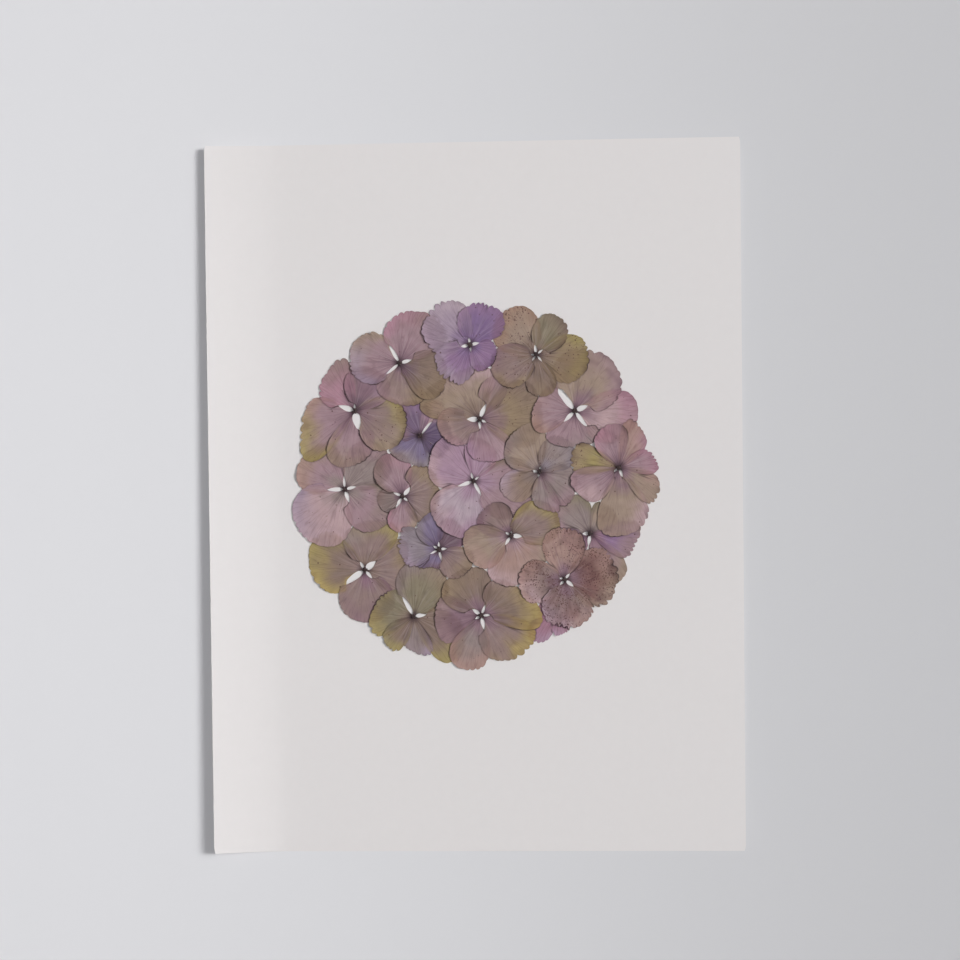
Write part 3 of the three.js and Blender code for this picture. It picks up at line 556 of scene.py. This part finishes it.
@dataclass
class FlowerPatch:
    """All florets in the order they were laid: each new sepal drapes over those beneath it.

    Lengths are in mm, and far stands for the distance of a neighbour that isn't there.
    """

    sheet_front: float = 0.43
    sepal_thickness: float = 0.13
    rows: int = 22
    columns: int = 106
    lift_reach: float = 2.4
    lift_least: float = 0.08
    lift_most: float = 0.85
    see_through: float = 0.3
    blend: float = 0.38
    paper: float = 0.80
    far: float = 9.0

    def __post_init__(self) -> None:
        """Lists every sepal of the patch from the lowest to the topmost."""
        self.florets = sorted(PLANS, key=lambda plan: plan.level)
        pairs = [(plan, sepal) for plan in self.florets for sepal in plan.sepals]
        self.stack = [SepalShape(plan, sepal, i) for i, (plan, sepal) in enumerate(pairs)]

    def bud_mesh(self, plan: FloretPlan, base: float, parts: MeshParts) -> None:
        """Adds the flattened dried bud: a dome whose radius swells into a few arms.

        Height is a flattened half circle of the distance; the outline is a circle with two waves.

        Args:
            plan: The floret.
            base: Height of the claws under the bud, in mm.
            parts: The floret's mesh so far.
        """
        rng = np.random.default_rng(int(abs(plan.at[0] * 100 + plan.at[1] * 10)) + 7)
        turn = np.linspace(0.0, math.tau, 49)[:-1]
        t, s = np.meshgrid(turn, np.sin(np.linspace(0.04, math.pi / 2, 9)))
        swell = 1.0 + 0.22 * np.sin(4 * t + rng.uniform(0, 6))
        swell += 0.12 * np.sin(7 * t + rng.uniform(0, 6))
        radius = 1.05 * s * swell
        crown = np.sqrt(np.clip(1.0 - s ** 2, 0.0, 1.0))
        lumps = 1.0 + 0.25 * np.sin(5 * t + 9 * s + rng.uniform(0, 6))
        height = base + 0.42 * crown * lumps + 0.03
        x = plan.at[0] + radius * np.cos(t)
        z = plan.at[1] + radius * np.sin(t)
        front = np.stack([x, -(self.sheet_front + height), z], axis=-1).reshape(-1, 3)
        back = front.copy()
        back[:, 1] = -(self.sheet_front + max(base - 0.1, 0.0))
        count = t.size
        grid = np.arange(count).reshape(t.shape)
        ahead = np.roll(grid, -1, axis=1)
        faces = np.stack([grid[:-1], grid[1:], ahead[1:], ahead[:-1]], axis=-1).reshape(-1, 4)
        side = np.stack([grid[-1], grid[-1] + count, ahead[-1] + count, ahead[-1]], axis=-1)
        turns = np.arange(len(turn) // 2 - 1)
        tip = np.stack([turns, turns + 1, len(turn) - 2 - turns, len(turn) - 1 - turns], axis=-1)
        quads = np.concatenate([faces, tip, faces[:, ::-1] + count, tip[:, ::-1] + count, side])
        dark = np.concatenate([Tint.BUD.linear() / self.paper, [1.0]])
        parts.add(np.concatenate([front, back]), quads, 1, tint=np.tile(dark, (2 * count, 1)))

    def bud_base(self, plan: FloretPlan, own: list[SepalShape]) -> float:
        """Height in mm of the sepals beneath a bud: those of lower florets and its own."""
        spot = np.array([plan.at[0]]), np.array([plan.at[1]])
        under = [s for s in self.stack[:own[0].number] if math.dist(s.plan.at, plan.at) < 60]
        lower = sum(float(drape(s.locate(*spot)[2])[0]) for s in under)
        return self.sepal_thickness * (lower + len(own))

    def build(self, sepal_finish: Material, bud_finish: Material) -> None:
        """Makes, dresses and mounts every floret.

        Args:
            sepal_finish: Material of the sepals.
            bud_finish: Material of the buds.
        """
        for plan in self.florets:
            parts = MeshParts()
            own = [shape for shape in self.stack if shape.plan is plan]
            for shape in own:
                SepalMesh(shape, self).add_to(parts)
            if plan.has_bud:
                self.bud_mesh(plan, self.bud_base(plan, own), parts)
            piece = parts.build(plan.name.replace("floret", "pressed"))
            piece.data.materials.append(sepal_finish)
            piece.data.materials.append(bud_finish)
            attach(piece, "root")
            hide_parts(plan.name)
            LOG.info("%s: %d sepals, %d faces", piece.name, len(own), len(piece.data.polygons))


@dataclass(frozen=True)
class Meeting:
    """Where the points of one sepal lie in another that it can touch, as locate gives it."""

    other: SepalShape
    across: Array
    reach: Array
    inside: Array


class SepalMesh:
    """The grid of points of one sepal, and the sepals that lie under and over it.

    Columns crowd a little towards the side edges and rows towards the margin.

    Args:
        shape: The sepal.
        patch: The patch that it is part of.
    """

    def __init__(self, shape: SepalShape, patch: FlowerPatch) -> None:
        """Lays out the points and finds the sepals that they meet."""
        self.shape, self.patch = shape, patch
        turn = np.linspace(0.035, math.pi - 0.035, patch.columns)
        across = 0.6 * turn / math.pi + 0.4 * (1.0 - np.cos(turn)) / 2
        reach = 1.0 - 0.97 * np.linspace(1.0, 0.0, patch.rows) ** 1.3
        u, v = np.meshgrid(across, reach)
        self.across, self.reach = u.ravel(), v.ravel()
        self.x, self.z, self.bearing, self.radius = (part.ravel() for part in shape.place(u, v))
        margin_x, margin_z, _, _ = shape.place(across, np.ones_like(across))
        rim = np.sqrt(np.min((self.x[:, None] - margin_x) ** 2
                             + (self.z[:, None] - margin_z) ** 2, axis=1))
        self.rim = np.minimum(rim, shape.margin(self.across) - self.radius)
        self.below = self.meetings(patch.stack[:shape.number])
        self.above = self.meetings(patch.stack[shape.number + 1:])

    def meetings(self, others: list[SepalShape]) -> list[Meeting]:
        """Those of the other sepals that are near enough to touch this one, lowest first."""
        own = self.shape
        return [Meeting(other, *other.locate(self.x, self.z)) for other in others
                if math.dist(own.plan.at, other.plan.at)
                < max(own.sepal.reach) + max(other.sepal.reach) + 4.0]

    def height(self) -> Array:
        """Height of the underside over the paper in mm.

        Each sepal beneath adds its thickness, as a pressed sepal bridges over an edge. Uncovered
        margins curl up by an amount that wanders, but not close to the bud.
        """
        patch, number = self.patch, self.shape.number
        total, bare = np.zeros_like(self.x), np.ones_like(self.x)
        for met in self.below:
            total += patch.sepal_thickness * drape(met.inside)
        for met in self.above:
            bare *= 1.0 - drape(met.inside)
        free = wander(self.x, self.z, 13.0, 900 + number) ** 2
        lift = patch.lift_least + (patch.lift_most - patch.lift_least) * free
        curl = np.clip(1.0 - self.rim / patch.lift_reach, 0.0, 1.0) ** 1.8
        curl *= lift * smooth(4.0, 13.0, self.radius)
        puff = 0.05 * (1.0 + ripple(self.x, self.z, 9.0, 300 + number))
        return total + bare * (curl + puff * smooth(0.0, 3.0, self.rim))

    def colour(self) -> Array:
        """Linear colour of each point, darkened and tinged by what lies beneath.

        A sepal beneath shows through as a filter of its own colour, and the sepals of one
        floret flow into one another where they overlap.
        """
        patch = self.patch
        own = self.shape.colour(self.x, self.z, self.across, self.reach) * 0.95
        light = np.full((len(self.x), 1), patch.see_through)
        for met in reversed(self.below):
            if met.inside.max() < -0.5:
                continue
            lower = met.other.colour(self.x, self.z, np.clip(met.across, 0, 1),
                                     np.clip(met.reach, 0, 1))
            cover = smooth(-0.7, 0.7, met.inside)[:, None]
            share = cover * (patch.blend if met.other.plan is self.shape.plan else 0.0)
            own = own * (1.0 - share) + lower * share
            own = own * (1.0 - light * cover * (1.0 - np.minimum(lower / 0.6, 1.0)))
            light = light * (1.0 - 0.6 * cover)
        return own

    def add_to(self, parts: MeshParts) -> None:
        """Adds the sepal to its floret's mesh as a closed thin shell."""
        patch, count = self.patch, len(self.x)
        under = patch.sheet_front + self.height()
        front = np.stack([self.x, -(under + patch.sepal_thickness), self.z], axis=-1)
        back = np.stack([self.x, -under, self.z], axis=-1)
        ghost, over = np.full(count, patch.far), np.full(count, -patch.far)
        press = np.zeros(count)
        for met in self.below:
            ghost = np.minimum(ghost, np.abs(met.inside))
        # Painted shade: a dark band on this sepal just outside the edge of each sepal laid over it, where
        # that lifted edge would shade it; deeper under another floret's edge.
        for met in self.above:
            depth = 0.9 * smooth(0.3, 0.85, wander(self.x, self.z, 13.0, 900 + met.other.number))
            depth += 0.0 if met.other.plan is self.shape.plan else 0.25
            press = np.where(met.inside > over, depth, press)
            over = np.maximum(over, met.inside)
        tint = np.concatenate([self.colour() / patch.paper, np.ones((count, 1))], axis=1)
        span = np.stack([self.bearing / 10.0 + 40.0 * self.shape.number, self.radius / 10.0],
                        axis=-1)
        values = {"tint": tint, "uv": span, "rim": self.rim, "ghost": ghost, "over": over,
                  "press": press, "specks": np.full(count, self.shape.sepal.specks)}
        quads, cut = shell_quads(patch.rows, patch.columns)
        parts.add(np.concatenate([front, back]), quads, 0, cut,
                  **{key: np.concatenate([value, value]) for key, value in values.items()})


@dataclass
class PaperSheet:
    """The sheet of heavy paper: flat on the wall, its left edge bowed off it. Millimetres."""

    width: float = 229.0
    height: float = 305.0
    thickness: float = 0.4
    corner: float = 0.5
    curl_start: float = -84.0
    curl_top: float = 3.0
    curl_bottom: float = 5.0
    patch_middle: float = 5.6
    patch_radius: float = 84.0
    cockle: float = 0.3
    rows: int = 110
    columns: int = 90

    def surface(self, across: Array, up: Array) -> tuple[Array, ...]:
        """Back surface of the sheet as a function of two fractions.

        The half width shrinks along a quarter circle at the corners. The stand-off is a power
        law from the start of the curl to the left edge, plus a faint cockle clear of the patch.

        Args:
            across: From 0 at the left edge to 1 at the right.
            up: From 0 at the foot to 1 at the top.

        Returns:
            x, stand-off and z in mm.
        """
        z = (up - 0.5) * self.height
        past = np.clip(np.abs(z) - (self.height / 2 - self.corner), 0.0, self.corner)
        inset = self.corner - np.sqrt(self.corner ** 2 - past ** 2)
        x = (across - 0.5) * 2.0 * (self.width / 2 - inset)
        bow = np.clip((self.curl_start - x) / (self.curl_start + self.width / 2), 0.0, 1.0)
        edge = self.curl_bottom + (self.curl_top - self.curl_bottom) * up
        clear = smooth(self.patch_radius, self.patch_radius + 34.0,
                       np.hypot(x, z - self.patch_middle))
        wave = self.cockle * clear * wander(x, z, 120.0, 5)
        return x, edge * bow ** 1.4 + wave * (1.0 - bow), z

    def build(self, finish: Material) -> None:
        """Makes, dresses and mounts the sheet.

        Args:
            finish: Material of the paper.
        """
        step = (1.0 - np.cos(np.linspace(0.0, math.pi, self.rows))) / 2
        rise = 0.85 * np.linspace(0.0, 1.0, self.rows) + 0.15 * step
        across, up = np.meshgrid(np.linspace(0.0, 1.0, self.columns), rise)
        x, off, z = (part.ravel() for part in self.surface(across, up))
        front = np.stack([x, -(off + self.thickness), z], axis=-1)
        back = np.stack([x, -off, z], axis=-1)
        quads, cut = shell_quads(self.rows, self.columns)
        parts = MeshParts()
        parts.add(np.concatenate([front, back]), quads[:, ::-1], 0, cut)
        piece = parts.build("flower_sheet_paper")
        piece.data.materials.append(finish)
        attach(piece, "root")
        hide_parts("paper_sheet")
        LOG.info("%s: %d faces", piece.name, len(piece.data.polygons))


class Graph:
    """A node tree that is filled by short calls.

    Args:
        tree: The node tree of a material or a group.
    """

    def __init__(self, tree: Tree) -> None:
        """Keeps the tree."""
        self.tree = tree

    def node(self, kind: str, *values: object, **settings: object) -> bpy.types.Node:
        """Adds a node, sets its properties and feeds its first inputs.

        Args:
            kind: Blender's type name of the node, less its ShaderNode.
            values: Values or sockets for its inputs, in order.
            settings: Properties of the node, by name.

        Returns:
            The node.
        """
        made = self.tree.nodes.new("ShaderNode" + kind)
        for key, value in settings.items():
            setattr(made, key, value)
        for socket, value in zip(made.inputs, values):
            self.feed(socket, value)
        return made

    def feed(self, socket: Socket, value: object) -> None:
        """Links a socket to another, or sets it to a plain value."""
        if isinstance(value, Socket):
            self.tree.links.new(value, socket)
        else:
            socket.default_value = value

    def calc(self, operation: str, a: object, b: object = 0.0) -> Socket:
        """A Math node on two values or sockets."""
        return self.node("Math", a, b, operation=operation).outputs[0]

    def times(self, a: object, b: object) -> Socket:
        """The product of two values or sockets."""
        return self.calc("MULTIPLY", a, b)

    def step(self, value: object, low: float, high: float, start: float = 0.0,
             stop: float = 1.0) -> Socket:
        """A smooth step of a value, from start at low to stop at high."""
        return self.node("MapRange", value, low, high, start, stop,
                         interpolation_type="SMOOTHSTEP").outputs[0]

    def mix(self, factor: object, a: object, b: object, blend: str = "MIX") -> Socket:
        """A mix of two colours by the share of the second one."""
        made = self.node("Mix", factor, data_type="RGBA", blend_type=blend)
        self.feed(made.inputs[6], a)
        self.feed(made.inputs[7], b)
        return made.outputs[2]

    def scaled(self, colour: object, factor: object) -> Socket:
        """A colour times a value."""
        made = self.node("VectorMath", colour, operation="SCALE")
        self.feed(made.inputs["Scale"], factor)
        return made.outputs[0]

    def noise(self, place: object, scale: float, detail: float = 2.0,
              rough: float = 0.5) -> Socket:
        """A Noise Texture's value, by its scale, octaves and roughness."""
        made = self.node("TexNoise", place)
        for key, value in (("Scale", scale), ("Detail", detail), ("Roughness", rough)):
            made.inputs[key].default_value = value
        return made.outputs[0]

    def stretched(self, x: object, y: object, wide: float, long: float,
                  shift: float) -> Socket:
        """A vector of two values, each with a scale of its own, moved aside by a shift."""
        return self.node("CombineXYZ", self.times(x, wide), self.times(y, long),
                         shift).outputs[0]

    def attribute(self, name: str, output: str = "Fac") -> Socket:
        """A vertex value of the piece, by name."""
        return self.node("Attribute", attribute_name=name).outputs[output]

    def group(self, tree: Tree, **values: object) -> bpy.types.NodeOutputs:
        """Puts in a node group, feeds its inputs by name and gives its outputs."""
        made = self.node("Group", node_tree=tree)
        for key, value in values.items():
            self.feed(made.inputs[key], value)
        return made.outputs


def new_group(name: str, vectors: tuple[str, ...], values: tuple[str, ...],
              outputs: tuple[str, ...]
              ) -> tuple[Graph, bpy.types.NodeOutputs, bpy.types.NodeInputs]:
    """Starts a shader node group.

    Args:
        name: Name of the group.
        vectors: Names of its vector inputs.
        values: Names of its value inputs.
        outputs: Names of its value outputs.

    Returns:
        Its graph, the sockets that bring its inputs and those that take its results.
    """
    tree = bpy.data.node_groups.new(name, "ShaderNodeTree")
    for keys, way, kind in ((vectors, "INPUT", "Vector"), (values, "INPUT", "Float"),
                            (outputs, "OUTPUT", "Float")):
        for key in keys:
            tree.interface.new_socket(key, in_out=way, socket_type="NodeSocket" + kind)
    given, result = tree.nodes.new("NodeGroupInput"), tree.nodes.new("NodeGroupOutput")
    return Graph(tree), given.outputs, result.inputs


def vein_group() -> Tree:
    """Veins that run out from the claw, as three masks and a height.

    A noise that is stretched along the reach is cut where it crosses its mean, which gives thin
    lines that wander, fork and meet. Coarse lines are dark by the claw and fade outwards, fine
    ones cover the whole sepal, and pale streaks lie between them in the inner half.

    Returns:
        The group.
    """
    g, given, result = new_group("veins", ("Span", "Place"), (),
                                 ("Dark", "Fine", "Pale", "Height"))
    split = g.node("SeparateXYZ", given["Span"])
    sway = g.calc("SUBTRACT", g.noise(given["Place"], 170.0), 0.5)
    bearing = g.calc("ADD", split.outputs[0], g.times(sway, 0.55))
    reach = split.outputs[1]

    def lines(wide: float, long: float, shift: float, thin: float) -> Socket:
        """Thin lines where the stretched noise crosses its mean."""
        wave = g.noise(g.stretched(bearing, reach, wide, long, shift), 1.0, 0.0)
        return g.step(g.calc("ABSOLUTE", g.calc("SUBTRACT", wave, 0.5)), 0.0, thin, 1.0, 0.0)

    coarse = g.times(lines(0.85, 0.22, 3.0, 0.075), g.step(reach, 0.15, 1.35, 1.0, 0.1))
    fine = g.calc("MAXIMUM", lines(1.9, 0.45, 9.0, 0.05),
                  g.times(lines(3.4, 1.1, 15.0, 0.045), 0.6))
    streak = g.noise(g.stretched(bearing, reach, 1.25, 0.3, 21.0), 1.0, 0.5)
    band = g.times(g.step(reach, 0.1, 0.35), g.step(reach, 0.6, 1.7, 1.0, 0.0))
    g.feed(result["Dark"], coarse)
    g.feed(result["Fine"], g.times(fine, g.step(reach, 0.3, 0.9, 0.25, 1.0)))
    g.feed(result["Pale"], g.times(g.step(streak, 0.52, 0.68), band))
    g.feed(result["Height"], g.calc("ADD", coarse, g.times(fine, 0.35)))
    return g.tree


def speck_group() -> Tree:
    """Small dark specks in clusters: cells of a Voronoi pattern that are chosen by chance.

    Returns:
        The group, whose Density is 0 for none and 1 for many.
    """
    g, given, result = new_group("specks", ("Place",), ("Density",), ("Mask", "Smudge"))
    cluster = g.step(g.noise(given["Place"], 130.0), 0.42, 0.58)

    def spots(scale: float, share: float) -> Socket:
        """One size of specks."""
        cells = g.node("TexVoronoi", given["Place"])
        cells.inputs["Scale"].default_value = scale
        chance = g.node("SeparateColor", cells.outputs["Color"])
        limit = g.times(g.times(given["Density"], share), g.calc("ADD", cluster, 0.15))
        chosen = g.calc("LESS_THAN", chance.outputs[0], limit)
        size = g.calc("ADD", g.times(chance.outputs[1], 0.2), 0.1)
        inside = g.step(g.calc("SUBTRACT", cells.outputs["Distance"], size), 0.0, 0.16, 1.0, 0.0)
        return g.times(chosen, inside)

    g.feed(result["Mask"], g.calc("MAXIMUM", spots(850.0, 0.85), spots(1450.0, 1.0)))
    smudge = g.step(g.noise(given["Place"], 150.0, 4.0, 0.65), 0.5, 0.66)
    g.feed(result["Smudge"], g.times(smudge, given["Density"]))
    return g.tree


def mottle_group() -> Tree:
    """Uneven tone and a fine grain, for paper and sepals alike.

    Returns:
        The group: Tone wanders about 1 by the Amount, Grain is a height.
    """
    g, given, result = new_group("mottle", ("Place",), ("Amount",), ("Tone", "Grain"))
    broad = g.noise(given["Place"], 260.0, 4.0, 0.6)
    tone = g.times(g.calc("SUBTRACT", broad, 0.5), given["Amount"])
    g.feed(result["Tone"], g.calc("ADD", tone, 1.0))
    g.feed(result["Grain"], g.noise(given["Place"], 1500.0, 3.0, 0.65))
    return g.tree


class Surface(Graph):
    """A new material with a Principled shader and its place on the piece.

    Args:
        name: Name of the material.
    """

    def __init__(self, name: str) -> None:
        """Makes the material and finds its shader."""
        self.material = bpy.data.materials.new(name)
        self.material.use_nodes = True
        super().__init__(self.material.node_tree)
        self.shader = self.tree.nodes["Principled BSDF"]
        self.place = self.node("TexCoord").outputs["Object"]

    def paint(self, colour: object, roughness: object, specular: float = 0.5) -> None:
        """Feeds the shader's colour, roughness and specular level."""
        self.feed(self.shader.inputs["Base Color"], colour)
        self.feed(self.shader.inputs["Roughness"], roughness)
        self.shader.inputs["Specular IOR Level"].default_value = specular

    def relief(self, height: object, strength: float, distance: float) -> None:
        """Bumps the normal by a height, with the depth in metres of a height of 1."""
        bump = self.node("Bump", strength, distance)
        self.feed(bump.inputs["Height"], height)
        self.feed(self.shader.inputs["Normal"], bump.outputs[0])


@dataclass(frozen=True)
class SepalFinish:
    """Dried sepals: matt, thin, veined, with dark claws, a fine brown margin and painted shade along the
    edges of the sepals that lie over them.
    """

    groups: dict[str, Tree]
    dark: float = 0.5
    fine: float = 0.27
    pale: float = 0.12
    claw: float = 0.85
    margin: float = 0.22
    ghost: float = 0.2
    edge_shade_share: float = 0.88
    smudge: float = 0.5
    speck: float = 0.8

    def material(self) -> Material:
        """Builds the material: the sepal's tint under a stack of stains and a painted shade, each with its
        mask.

        Returns:
            The material, which reads the vertex values tint, rim, ghost, over and specks, and the depth of
            the painted shade along the edges of overlying sepals.
        """
        g = Surface("dried_sepal")
        span = g.node("UVMap", uv_map="Span").outputs[0]
        veins = g.group(self.groups["veins"], Span=span, Place=g.place)
        mottle = g.group(self.groups["mottle"], Place=g.place, Amount=0.34)
        specks = g.group(self.groups["specks"], Place=g.place, Density=g.attribute("specks"))
        tint = g.attribute("tint", "Color")
        reach = g.node("SeparateXYZ", span).outputs[1]
        deep = g.mix(1.0, tint, (0.36, 0.27, 0.33, 1.0), "MULTIPLY")
        patchy = g.step(g.noise(g.place, 210.0), 0.38, 0.62, 0.1, 1.0)
        claw = g.step(reach, 0.08, 0.42, 1.0, 0.0)
        line = g.times(g.step(g.attribute("rim"), 0.05, 0.5, 1.0, 0.0), patchy)
        under = g.times(g.step(g.attribute("ghost"), 0.0, 0.5, 1.0, 0.0), patchy)
        # Painted shade: a dark band along the edges of the sepals that lie over this one, not a stain.
        painted_edge_shade = g.times(g.step(g.attribute("over"), -0.6, -0.1), g.attribute("press"))
        painted_edge_shade = g.calc("MINIMUM", painted_edge_shade, 1.0)
        colour = g.scaled(tint, mottle["Tone"])
        for mask, share, stain_or_shade in (
                (veins["Pale"], self.pale, (0.62, 0.52, 0.53, 1.0)),
                (veins["Fine"], self.fine, deep),
                (veins["Dark"], self.dark, deep),
                (claw, self.claw, (0.06, 0.036, 0.044, 1.0)),
                (line, self.margin, (0.12, 0.07, 0.065, 1.0)),
                (under, self.ghost, deep),
                (specks["Smudge"], self.smudge, (0.13, 0.065, 0.066, 1.0)),
                (specks["Mask"], self.speck, (0.1, 0.045, 0.043, 1.0)),
                # The last entry is painted shade along the edges of overlying sepals, not a stain.
                (painted_edge_shade, self.edge_shade_share, (0.055, 0.032, 0.034, 1.0))):
            colour = g.mix(g.times(mask, share), colour, stain_or_shade)
        g.paint(colour, g.step(mottle["Tone"], 0.9, 1.1, 0.72, 0.88), 0.28)
        g.relief(g.calc("SUBTRACT", g.times(mottle["Tone"], 2.2), g.times(veins["Height"], 0.4)),
                 0.5, 0.00012)
        return g.material


@dataclass(frozen=True)
class BudFinish:
    """The dried bud: dark brown and crumbly."""

    groups: dict[str, Tree]

    def material(self) -> Material:
        """Builds the material."""
        g = Surface("dried_bud")
        mottle = g.group(self.groups["mottle"], Place=g.place, Amount=0.6)
        colour = g.mix(g.step(mottle["Grain"], 0.35, 0.65), (0.02, 0.012, 0.014, 1.0),
                       (0.085, 0.05, 0.048, 1.0))
        g.paint(colour, g.step(mottle["Tone"], 0.8, 1.2, 0.7, 0.9))
        g.relief(mottle["Grain"], 0.6, 0.0002)
        return g.material


@dataclass(frozen=True)
class PaperFinish:
    """Heavy uncoated paper: off-white, faintly mottled, with a soft tooth."""

    groups: dict[str, Tree]
    colour: tuple[float, float, float] = (0.79, 0.757, 0.75)

    def material(self) -> Material:
        """Builds the material."""
        g = Surface("heavy_paper")
        mottle = g.group(self.groups["mottle"], Place=g.place, Amount=0.03)
        g.paint(g.scaled(self.colour, mottle["Tone"]),
                g.step(mottle["Grain"], 0.3, 0.7, 0.86, 0.96), 0.25)
        g.relief(mottle["Grain"], 0.22, 0.00008)
        return g.material


@dataclass
class Studio:
    """Pale wall behind the sheet, soft light from the upper right, and the camera. Metres."""

    wall_gap: float = 0.0002
    wall_size: float = 3.0
    wall_colour: tuple[float, float, float] = (0.71, 0.705, 0.722)
    opening: tuple[float, float, float] = (-0.108, 0.1142, 0.1522)
    air_colour: tuple[float, float, float, float] = (0.94, 0.96, 1.0, 1.0)
    air_light: float = 0.225
    lens: float = 70.0
    camera_at: tuple[float, float, float] = (0.0411, -0.8011, 0.0302)
    camera_turn: tuple[float, float, float] = (88.404, 0.691, 2.763)

    def wall(self) -> None:
        """Makes the wall, open behind the sheet to let light reach its back, clear from there, and painted
        lighter to the left and darker to the right as a light fall-off.
        """
        half = self.wall_size / 2
        left, right, rise = self.opening
        ring = [(-half, -half), (half, -half), (half, half), (-half, half),
                (left, -rise), (right, -rise), (right, rise), (left, rise)]
        mesh = bpy.data.meshes.new("pale_wall")
        mesh.from_pydata([(x, self.wall_gap, z) for x, z in ring], [],
                         [(i, (i + 1) % 4, (i + 1) % 4 + 4, i + 4) for i in range(4)])
        piece = bpy.data.objects.new("pale_wall", mesh)
        bpy.context.scene.collection.objects.link(piece)
        g = Surface("wall_paint")
        across = g.node("SeparateXYZ", g.place).outputs[0]
        # Painted light: the wall's colour runs from lighter on the left to darker on the right, standing
        # in for light falling off across it.
        g.paint(g.scaled(self.wall_colour, g.step(across, -0.2, 0.26, 1.13, 0.9)), 0.85)
        rear = g.node("NewGeometry").outputs["Backfacing"]
        clear = g.node("BsdfTransparent").outputs[0]
        blend = g.node("MixShader", rear, g.shader.outputs[0], clear)
        g.feed(g.tree.nodes["Material Output"].inputs[0], blend.outputs[0])
        mesh.materials.append(g.material)

    def lamp(self, name: str, at: tuple[float, float, float], size: float, power: float,
             aim: tuple[float, float] = (0.0, 0.0), spread: float = 180.0) -> None:
        """Adds a square area light that looks at the wall.

        Args:
            name: Name of the light.
            at: Its place.
            size: Its side.
            power: Its power in watts.
            aim: How far right of and above the sheet's middle it looks.
            spread: Angle of its beam in degrees.
        """
        data = bpy.data.lights.new(name, "AREA")
        data.shape, data.size, data.energy = "SQUARE", size, power
        data.spread = math.radians(spread)
        lamp = bpy.data.objects.new(name, data)
        lamp.location = at
        look = Vector((aim[0], 0.0, aim[1])) - Vector(at)
        lamp.rotation_euler = look.to_track_quat("-Z", "Y").to_euler()
        bpy.context.scene.collection.objects.link(lamp)

    def camera(self) -> None:
        """Adds the camera, close to straight on and rolled by less than a degree."""
        data = bpy.data.cameras.new("camera")
        data.lens, data.sensor_width = self.lens, 36.0
        camera = bpy.data.objects.new("camera", data)
        camera.location = self.camera_at
        camera.rotation_euler = Euler([math.radians(turn) for turn in self.camera_turn], "XYZ")
        bpy.context.scene.collection.objects.link(camera)
        bpy.context.scene.camera = camera

    def build(self) -> None:
        """Makes the wall, the lights and the camera."""
        self.wall()
        self.lamp("key", (3.4, -3.1, 0.9), 1.8, 11.0, (-0.62, -0.05), 32.0)
        self.lamp("fill", (-0.6, -2.4, 0.0), 1.2, 10.0)
        self.lamp("back_fill", (0.6, 1.8, 0.8), 1.5, 20.0)
        world = bpy.data.worlds.new("studio_air")
        world.use_nodes = True
        air = world.node_tree.nodes["Background"]
        air.inputs[0].default_value, air.inputs[1].default_value = self.air_colour, self.air_light
        bpy.context.scene.world = world
        bpy.context.scene.view_settings.view_transform = "Standard"
        self.camera()


def main() -> None:
    """Builds the sheet, the florets and the studio, and notes the sizes."""
    logging.basicConfig(level=logging.INFO, format="%(message)s")
    groups = {"veins": vein_group(), "specks": speck_group(), "mottle": mottle_group()}
    PaperSheet().build(PaperFinish(groups).material())
    FlowerPatch().build(SepalFinish(groups).material(), BudFinish(groups).material())
    Studio().build()


if __name__ == "__main__":
    main()
